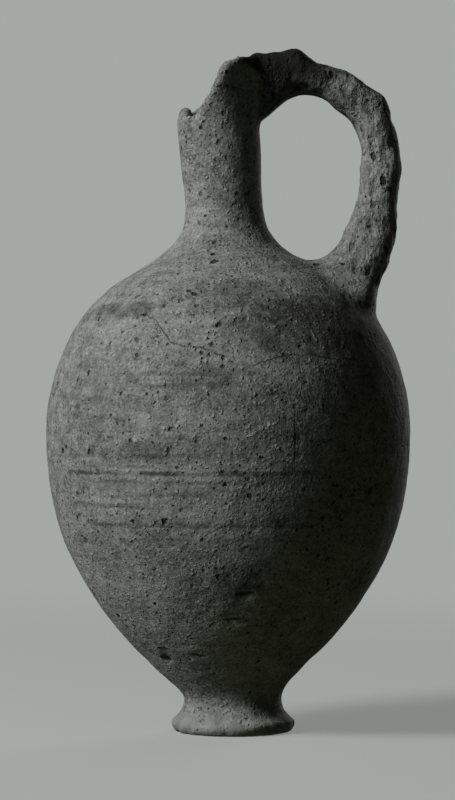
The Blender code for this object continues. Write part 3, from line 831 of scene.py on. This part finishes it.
class Clay:
    """One clay finish of the jug, of which each step lays a layer over the last."""

    def __init__(self, name):
        self.material = bpy.data.materials.new(name)
        self.material.use_nodes = True
        tree = self.material.node_tree
        self.shader = tree.nodes["Principled BSDF"]
        start = Signal(tree)
        object_place = start.node("ShaderNodeTexCoord", {}, {}, "Object")
        self.place = object_place.stretched(1.0 / MM, 1.0 / MM, 1.0 / MM)
        self.x, self.y, self.z = self.place.parts()
        self.turn = start.maths("ARCTAN2", self.x, 0.0 - self.y) * math.degrees(1.0)
        self.fine = self.place.cloud(*FINE_CLOUD)
        self.medium = self.place.cloud(*MEDIUM_CLOUD)
        self.streak = self.place.stretched(*STREAK_STRETCH).cloud(*STREAK_CLOUD)
        broad = self.place.cloud(*BROAD_CLOUD)
        grit = self.place.cloud(*GRIT_CLOUD)
        self.tone = 1.0 + BROAD_TONE * broad + MEDIUM_TONE * self.medium + STREAK_TONE * self.streak
        self.tone = self.tone + FINE_TONE * self.fine + GRIT_TONE * grit
        self.height = FINE_RELIEF * self.fine + MEDIUM_RELIEF * self.medium + STREAK_RELIEF * self.streak
        self.dense = 1.0

    def spots(self, spacing, radius, chance, seed, tall=1.0):
        """Where scattered spots with ragged edges lie, 0 to 1, some fainter than others."""
        waves = {"Vector": self.place, "Scale": SPOT_WAVE / radius}
        ragged = self.place.node("ShaderNodeTexNoise", {}, waves, "Color")
        spread = SPOT_SPREAD * radius
        place = self.place.moved(ragged.stretched(spread, spread, spread)).moved((seed, seed, seed))
        place = place.stretched(1.0, 1.0, 1.0 / tall)
        cells = {"Vector": place, "Scale": 1.0 / spacing}
        distance = place.node("ShaderNodeTexVoronoi", {}, cells, "Distance") * spacing
        luck, faint, _ = place.node("ShaderNodeTexVoronoi", {}, cells, "Color").parts()
        size = (1.0 - luck / (chance * self.dense)).largest(0.0)
        reach = radius * size.maths("POWER", size, SPOT_GROWTH) + SPOT_LEAST
        return (1.0 - (distance / reach).step(*SPOT_EDGE)) * (1.0 - SPOT_FADING * faint)

    def pits(self, spacing, radius, depth, chance, seed, tall=1.0):
        """Lay small pits, with painted shade darkening their insides."""
        pit = self.spots(spacing, radius, chance, seed, tall)
        # painted shade inside each pit
        self.tone = self.tone * (1.0 - SMALL_PIT_PAINTED_SHADE * pit)
        self.height = self.height - depth * pit

    def crumbs(self, spacing, radius, rise, chance, seed):
        """Lay small raised grains, paler on top."""
        crumb = self.spots(spacing, radius, chance, seed)
        self.tone = self.tone + CRUMB_LIGHT * crumb
        self.height = self.height + rise * crumb

    def specks(self):
        """Lay fine pale grains, and a few paler ones."""
        speck = self.place.cloud(*SPECK_CLOUD).step(*SPECK_LEVELS)
        self.tone = self.tone + SPECK_LIGHT * speck
        self.tone = self.tone + PALE_GRAIN_LIGHT * self.spots(*PALE_GRAINS)

    def in_front(self):
        """The side of the jug that faces the view, 0 to 1."""
        return (0.0 - self.y).step(*FRONT_FADE)

    def stroke(self, middle, length, width, slope):
        """Where a small ragged stroke at a place on the front lies, 0 to 1."""
        cosine = math.cos(math.radians(slope))
        sine = math.sin(math.radians(slope))
        across = self.x - middle[0]
        up = self.z - middle[2]
        along = (across * cosine + up * sine) / length
        aside = (up * cosine - across * sine) / width
        shown = 1.0 - (along * along + aside * aside + STROKE_RAGGED * self.medium).step(*STROKE_EDGE)
        return shown * self.in_front()

    def nicks(self):
        """Lay a few dark nicks."""
        for middle, length, width, slope, depth in NICKS:
            shown = self.stroke(middle, length, width, slope)
            self.tone = self.tone * (1.0 - NICK_SHADE * shown)
            self.height = self.height - depth * shown

    def chips(self):
        """Lay a few pale chips."""
        for middle, length, width, slope in CHIPS:
            shown = self.stroke(middle, length, width, slope)
            self.tone = self.tone + CHIP_LIGHT * shown
            self.height = self.height + CHIP_RISE * shown

    def bands(self):
        """Lay worn painted bands round the belly."""
        wander = BAND_WANDER * self.place.cloud(*BAND_WANDER_CLOUD)
        wear = self.place.stretched(*BAND_WEAR_STRETCH).cloud(*BAND_WEAR_CLOUD).step(*BAND_WEAR_LEVELS)
        for height, half, first, last, strength in BANDS:
            gap = abs(self.z + wander - height)
            shown = 1.0 - gap.step(BAND_EDGE[0] * half, BAND_EDGE[1] * half)
            shown = shown * self.turn.step(first + BAND_START[0], first + BAND_START[1])
            shown = shown * (1.0 - self.turn.step(last + BAND_END[0], last + BAND_END[1])) * wear
            self.tone = self.tone * (1.0 - strength * shown)

    def blotches(self):
        """Lay dark remains of paint."""
        ragged = BLOTCH_RAGGED * self.place.stretched(*BLOTCH_STRETCH).cloud(*BLOTCH_CLOUD)
        ragged = ragged + BLOTCH_MEDIUM * self.medium
        for middle, half, strength in BLOTCHES:
            across = (self.x - middle[0]) / half[0]
            up = (self.z - middle[2]) / half[1]
            shown = 1.0 - (across * across + up * up + ragged).step(*BLOTCH_EDGE)
            shown = shown * self.in_front()
            self.tone = self.tone * (1.0 - strength * shown)

    def crack(self, line, width, depth):
        """Lay a thin crack along a line of turns and heights."""
        first, last = line[0][0], line[-1][0]
        low = min(point[1] for point in line)
        high = max(point[1] for point in line)
        places = [((turn - first) / (last - first), (height - low) / (high - low)) for turn, height in line]
        share = (self.turn - first) / (last - first)
        curve = share.node("ShaderNodeFloatCurve", {"curve": places}, {"Value": share})
        level = curve * (high - low) + low
        jitter = CRACK_JITTER * self.place.cloud(*CRACK_JITTER_CLOUD)
        gap = abs(self.z + jitter - level)
        shown = 1.0 - gap.step(CRACK_CORE * width, width)
        shown = shown * share.step(*CRACK_START) * (1.0 - share.step(*CRACK_END))
        fade = self.place.cloud(*CRACK_FADE_CLOUD).step(*CRACK_FADE_LEVELS)
        shown = shown * (CRACK_FAINTEST + (1.0 - CRACK_FAINTEST) * fade)
        self.tone = self.tone * (1.0 - CRACK_SHADE * shown)
        self.height = self.height - depth * shown

    def finish(self, roughness):
        """Link the layers to the shader."""
        tone = self.tone.largest(DARKEST_TONE)
        rough = roughness + ROUGHNESS_SPREAD * self.medium
        relief = {"Strength": 1.0, "Distance": MM, "Height": self.height}
        tone.tinted(CLAY_COLOUR).feed(self.shader.inputs["Base Color"])
        rough.feed(self.shader.inputs["Roughness"])
        tone.node("ShaderNodeBump", {}, relief, "Normal").feed(self.shader.inputs["Normal"])
        self.shader.inputs["Specular IOR Level"].default_value = CLAY_GLOSS
        return self.material


def lay_grain(clay):
    """Lay the crumbs, pits and specks that all the jug's clay has."""
    for crumb in CRUMBS:
        clay.crumbs(*crumb)
    for pit in SMALL_PITS:
        clay.pits(*pit)
    clay.specks()


def paint_top_shadow(clay):
    """Paint shadow over the handle's top and the back of the mouth, darker on the high lit part than on the
    shaded underside.
    """
    near = (0.0 - clay.y).largest(0.0) * (1.0 - clay.z.step(*PAINTED_SHADOW_LEAN_TOP))
    painted_shadow = (clay.x - PAINTED_SHADOW_LEAN * near + PAINTED_SHADOW_START_WANDER * clay.medium).step(*PAINTED_SHADOW_START)
    painted_shadow = painted_shadow * (1.0 - (clay.x + PAINTED_SHADOW_END_WANDER * clay.medium).step(*PAINTED_SHADOW_END))
    painted_shadow = painted_shadow * clay.z.step(*PAINTED_SHADOW_LOW)
    painted_shadow = painted_shadow * (PAINTED_SHADOW_STRENGTH + PAINTED_SHADOW_HIGH_STRENGTH * clay.z.step(*PAINTED_SHADOW_HIGH))
    # painted shadow: the clay's tone is darkened here to stand in for shade
    clay.tone = clay.tone * (1.0 - painted_shadow)


def body_clay():
    """The belly's clay, with worn bands and blotches of paint, cracks, chips and nicks."""
    clay = Clay("body_clay")
    dense = clay.turn.step(*DENSE_TURNS).largest(1.0 - clay.z.step(*DENSE_HEIGHTS))
    clay.dense = SPARSE + (1.0 - SPARSE) * dense
    clay.bands()
    clay.blotches()
    lay_grain(clay)
    for line, width, depth in CRACKS:
        clay.crack(line, width, depth)
    clay.chips()
    clay.nicks()
    return clay.finish(BODY_ROUGHNESS)


def foot_clay():
    """The foot's clay, with a pale crust round its lower edge."""
    clay = Clay("foot_clay")
    lay_grain(clay)
    smudge = clay.place.stretched(*CRUST_STRETCH).cloud(*CRUST_CLOUD)
    crust = CRUST_COVER * (1.0 - (clay.z + CRUST_WANDER * smudge).step(*CRUST_TOP))
    clay.tone = clay.tone * FOOT_TONE
    clay.tone = clay.tone + crust * (CRUST_TONE + CRUST_SPREAD * smudge - clay.tone)
    clay.height = clay.height * (1.0 - CRUST_LEVELLING * crust)
    return clay.finish(WORN_ROUGHNESS)


def neck_clay():
    """The clay of the neck and the mouth, with more pits and painted shadow over its back."""
    clay = Clay("neck_clay")
    lay_grain(clay)
    clay.pits(*NECK_PITS)
    paint_top_shadow(clay)
    return clay.finish(WORN_ROUGHNESS)


def handle_clay():
    """The handle's clay, coarse and gouged, with painted shadow over its top."""
    clay = Clay("handle_clay")
    lay_grain(clay)
    clay.pits(*HANDLE_PITS)
    furrow = clay.place.stretched(*FURROW_STRETCH).cloud(*FURROW_CLOUD)
    clay.height = clay.height + FURROW_RELIEF * furrow
    clay.tone = HANDLE_TONE * (clay.tone + FURROW_TONE * furrow)
    paint_top_shadow(clay)
    return clay.finish(WORN_ROUGHNESS)


# Pieces


def lies_in(edge, point, normal):
    """Whether an edge lies in a plane."""
    return all(abs((vert.co - point).dot(normal)) < CUT_TOLERANCE for vert in edge.verts)


def capped(bm, point, normal):
    """Close a mesh's open cut in a plane with flat faces, and mark these."""
    cap = bm.faces.layers.int["cap"]
    opened = [edge for edge in bm.edges if edge.is_boundary and lies_in(edge, point, normal)]
    made = bmesh.ops.triangle_fill(bm, edges=opened, use_beauty=True)["geom"]
    for item in made:
        if isinstance(item, bmesh.types.BMFace):
            item[cap] = 1
            item.smooth = False
    bmesh.ops.recalc_face_normals(bm, faces=bm.faces)


def split(bm, point, normal):
    """Part a mesh by a plane into two, behind the plane and in front of it, each closed there."""
    parts = []
    for behind in (True, False):
        part = bm.copy()
        geom = part.verts[:] + part.edges[:] + part.faces[:]
        bmesh.ops.bisect_plane(part, geom=geom, dist=MERGE_DISTANCE, plane_co=point, plane_no=normal,
                               clear_outer=behind, clear_inner=not behind)
        capped(part, point, normal)
        parts.append(part)
    bm.free()
    return parts


def cut_through(bm, faces, point, normal):
    """Cut some faces of a mesh along a plane and give the new edges."""
    geom = list(faces)
    edges = {edge for face in faces for edge in face.edges}
    verts = {vert for face in faces for vert in face.verts}
    geom += list(edges) + list(verts)
    made = bmesh.ops.bisect_plane(bm, geom=geom, dist=MERGE_DISTANCE, plane_co=point, plane_no=normal)
    return {item for item in made["geom_cut"] if isinstance(item, bmesh.types.BMEdge)}


def reached(first, walls):
    """The faces that are reached from one face without crossing the walls."""
    seen = {first}
    row = [first]
    for face in row:
        for edge in face.edges:
            if edge in walls:
                continue
            for other in edge.link_faces:
                if other not in seen:
                    seen.add(other)
                    row.append(other)
    return seen


def piece_of(bm, faces):
    """A copy of a mesh with only some of its faces."""
    chosen = {face.index for face in faces}
    part = bm.copy()
    part.faces.ensure_lookup_table()
    others = [face for face in part.faces if face.index not in chosen]
    bmesh.ops.delete(part, geom=others, context="FACES")
    return part


def without_handle(bm):
    """Part the skin into the body and the handle's loop, which is cut off at its two ends."""
    top = Vector((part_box("mouth")[1].x + TOP_CUT_OFFSET, 0.0, 0.0))
    top_normal = Vector((1.0, 0.0, 0.0))
    root_normal = Vector(ROOT_NORMAL).normalized()
    root = Vector(ROOT_PLACE) + root_normal * ROOT_CUT_OFFSET
    upper = [face for face in bm.faces if face.calc_center_median().z > TOP_CUT_LOW]
    walls = cut_through(bm, upper, top, top_normal)
    rooted = [face for face in bm.faces if (face.calc_center_median() - root).length < ROOT_CUT_REACH]
    walls |= cut_through(bm, rooted, root, root_normal)
    raised = [face for face in bm.faces if face.calc_center_median().z > HANDLE_LOW]
    loop_faces = reached(max(raised, key=lambda face: face.calc_center_median().x), walls)
    bm.faces.index_update()
    body = piece_of(bm, [face for face in bm.faces if face not in loop_faces])
    loop = piece_of(bm, loop_faces)
    bm.free()
    for part in (body, loop):
        capped(part, top, top_normal)
        capped(part, root, root_normal)
    return body, loop


def parted(skin):
    """The skin's closed pieces by name, parted at the jug's luted joints."""
    bm = bmesh.new()
    bm.from_mesh(skin)
    bm.faces.layers.int.new("cap")
    normal = bm.verts.layers.float_vector.new("skin_normal")
    for vert in bm.verts:
        vert[normal] = vert.normal
    up = Vector((0.0, 0.0, 1.0))
    seam_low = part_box("shoulder")[0].z
    seam_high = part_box("lower_body")[1].z
    tilt = (seam_high - seam_low) / 2.0 / SEAM_RADIUS
    seam = Vector((0.0, 0.0, (seam_high + seam_low) / 2.0))
    lean_x = -tilt * math.cos(SEAM_HIGH_ANGLE)
    lean_y = -tilt * math.sin(SEAM_HIGH_ANGLE)
    seam_normal = Vector((lean_x, lean_y, 1.0)).normalized()
    pieces = {}
    rest, pieces["jug_handle"] = without_handle(bm)
    pieces["jug_foot"], rest = split(rest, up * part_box("foot_join_coil")[1].z, up)
    pieces["jug_lower_body"], rest = split(rest, seam, seam_normal)
    pieces["jug_shoulder"], rest = split(rest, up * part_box("neck_join_coil")[0].z, up)
    pieces["jug_neck"], pieces["jug_mouth"] = split(rest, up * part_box("mouth")[0].z, up)
    return pieces


def dressed(name, bm, material):
    """Make a piece with the whole skin's normals, so that its joint with the next piece doesn't show."""
    cap = bm.faces.layers.int["cap"]
    normal = bm.verts.layers.float_vector["skin_normal"]
    directions = []
    for face in bm.faces:
        for loop in face.loops:
            directions.append(face.normal.copy() if face[cap] else loop.vert[normal].normalized())
    bm.faces.layers.int.remove(cap)
    bm.verts.layers.float_vector.remove(normal)
    mesh = bpy.data.meshes.new(name)
    bm.to_mesh(mesh)
    bm.free()
    mesh.shade_smooth()
    mesh.normals_split_custom_set(directions)
    mesh.materials.append(material)
    return add_object(name, mesh)


# Stage


def add_camera():
    """A level camera before the jug, its view raised a little."""
    camera = bpy.data.cameras.new("camera")
    camera.sensor_width = SENSOR
    camera.lens = SENSOR * VIEW_DISTANCE / VIEW_HEIGHT
    camera.shift_y = VIEW_RAISE / VIEW_HEIGHT
    item = add_object("camera", camera)
    item.location = (EYE_SIDE, -VIEW_DISTANCE, EYE_HEIGHT)
    item.rotation_euler = (QUARTER_TURN, 0.0, 0.0)
    bpy.context.scene.camera = item


def add_light(name, turn, height, distance, size, power):
    """A soft light at a turn round the jug, aimed at the jug."""
    light = bpy.data.lights.new(name, "AREA")
    light.size = size
    light.energy = power
    item = add_object(name, light)
    item.location = (distance * math.sin(turn), -distance * math.cos(turn), height)
    aim = Vector((0.0, 0.0, AIM_HEIGHT)) - item.location
    item.rotation_euler = aim.to_track_quat("-Z", "Y").to_euler()
    item.visible_camera = False


def add_stage():
    """A pale floor that curves up into a wall all round. The room's glow stands in for the light off it."""
    profile = [(0.0, 0.0), (FLOOR_RADIUS, 0.0)]
    for step in range(1, COVE_STEPS + 1):
        turn = QUARTER_TURN * step / COVE_STEPS
        out = FLOOR_RADIUS + COVE_RADIUS * math.sin(turn)
        profile.append((out, COVE_RADIUS * (1.0 - math.cos(turn))))
    profile.append((FLOOR_RADIUS + COVE_RADIUS, WALL_TOP))
    bm = bmesh.new()
    verts = [bm.verts.new((radius, 0.0, height)) for radius, height in profile]
    edges = [bm.edges.new(pair) for pair in zip(verts, verts[1:])]
    bmesh.ops.spin(bm, geom=verts + edges, axis=(0, 0, 1), angle=math.tau, steps=STAGE_SIDES,
                   use_merge=True)
    bmesh.ops.remove_doubles(bm, verts=bm.verts, dist=MERGE_DISTANCE)
    bmesh.ops.recalc_face_normals(bm, faces=bm.faces)
    mesh = bpy.data.meshes.new("studio_floor")
    bm.to_mesh(mesh)
    bm.free()
    mesh.shade_smooth()
    floor = add_object("studio_floor", mesh)
    mesh.materials.append(floor_paper())
    floor.visible_diffuse = False
    floor.visible_glossy = False


def floor_paper():
    """Pale paper that takes the jug's shadow near it and fades into an even backdrop."""
    material = bpy.data.materials.new("floor_paper")
    material.use_nodes = True
    tree = material.node_tree
    shader = tree.nodes["Principled BSDF"]
    place = Signal(tree).node("ShaderNodeTexCoord", {}, {}, "Object")
    distance = place.node("ShaderNodeVectorMath", {"operation": "LENGTH"}, {0: place}, "Value")
    far = distance.step(NEAR_FLOOR, FAR_FLOOR)
    far.mixed(PAPER_COLOUR, BLACK).feed(shader.inputs["Base Color"])
    far.mixed(NEAR_GLOW, FAR_GLOW).feed(shader.inputs["Emission Color"])
    shader.inputs["Emission Strength"].default_value = 1.0
    shader.inputs["Roughness"].default_value = 1.0
    shader.inputs["Specular IOR Level"].default_value = 0.0
    return material


def add_room():
    """A dim glow from all round, with a little more from the floor."""
    world = bpy.data.worlds.new("room")
    world.use_nodes = True
    tree = world.node_tree
    across, _, up = Signal(tree).node("ShaderNodeTexCoord", {}, {}, "Generated").parts()
    below = (0.0 - up).largest(0.0) * (1.0 - BOUNCE_LEAN * across)
    bounce = 1.0 + FLOOR_BOUNCE / ROOM_GLOW[1] * below
    bounce.tinted(ROOM_GLOW).feed(tree.nodes["Background"].inputs["Color"])
    bpy.context.scene.world = world


def main():
    bpy.context.scene.view_settings.view_transform = "Standard"
    add_camera()
    add_stage()
    add_room()
    add_light("key", KEY_TURN, KEY_HEIGHT, KEY_DISTANCE, KEY_SIZE, KEY_POWER)
    add_light("back", BACK_TURN, BACK_HEIGHT, BACK_DISTANCE, BACK_SIZE, BACK_POWER)

    finishes = {
        "body_clay": body_clay(),
        "foot_clay": foot_clay(),
        "neck_clay": neck_clay(),
        "handle_clay": handle_clay(),
    }
    for name, bm in parted(clay_skin()).items():
        slot, nodes = STANDS_FOR[name]
        piece = dressed(name, bm, finishes[slot])
        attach(piece, "root")
        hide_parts(*nodes)


main()
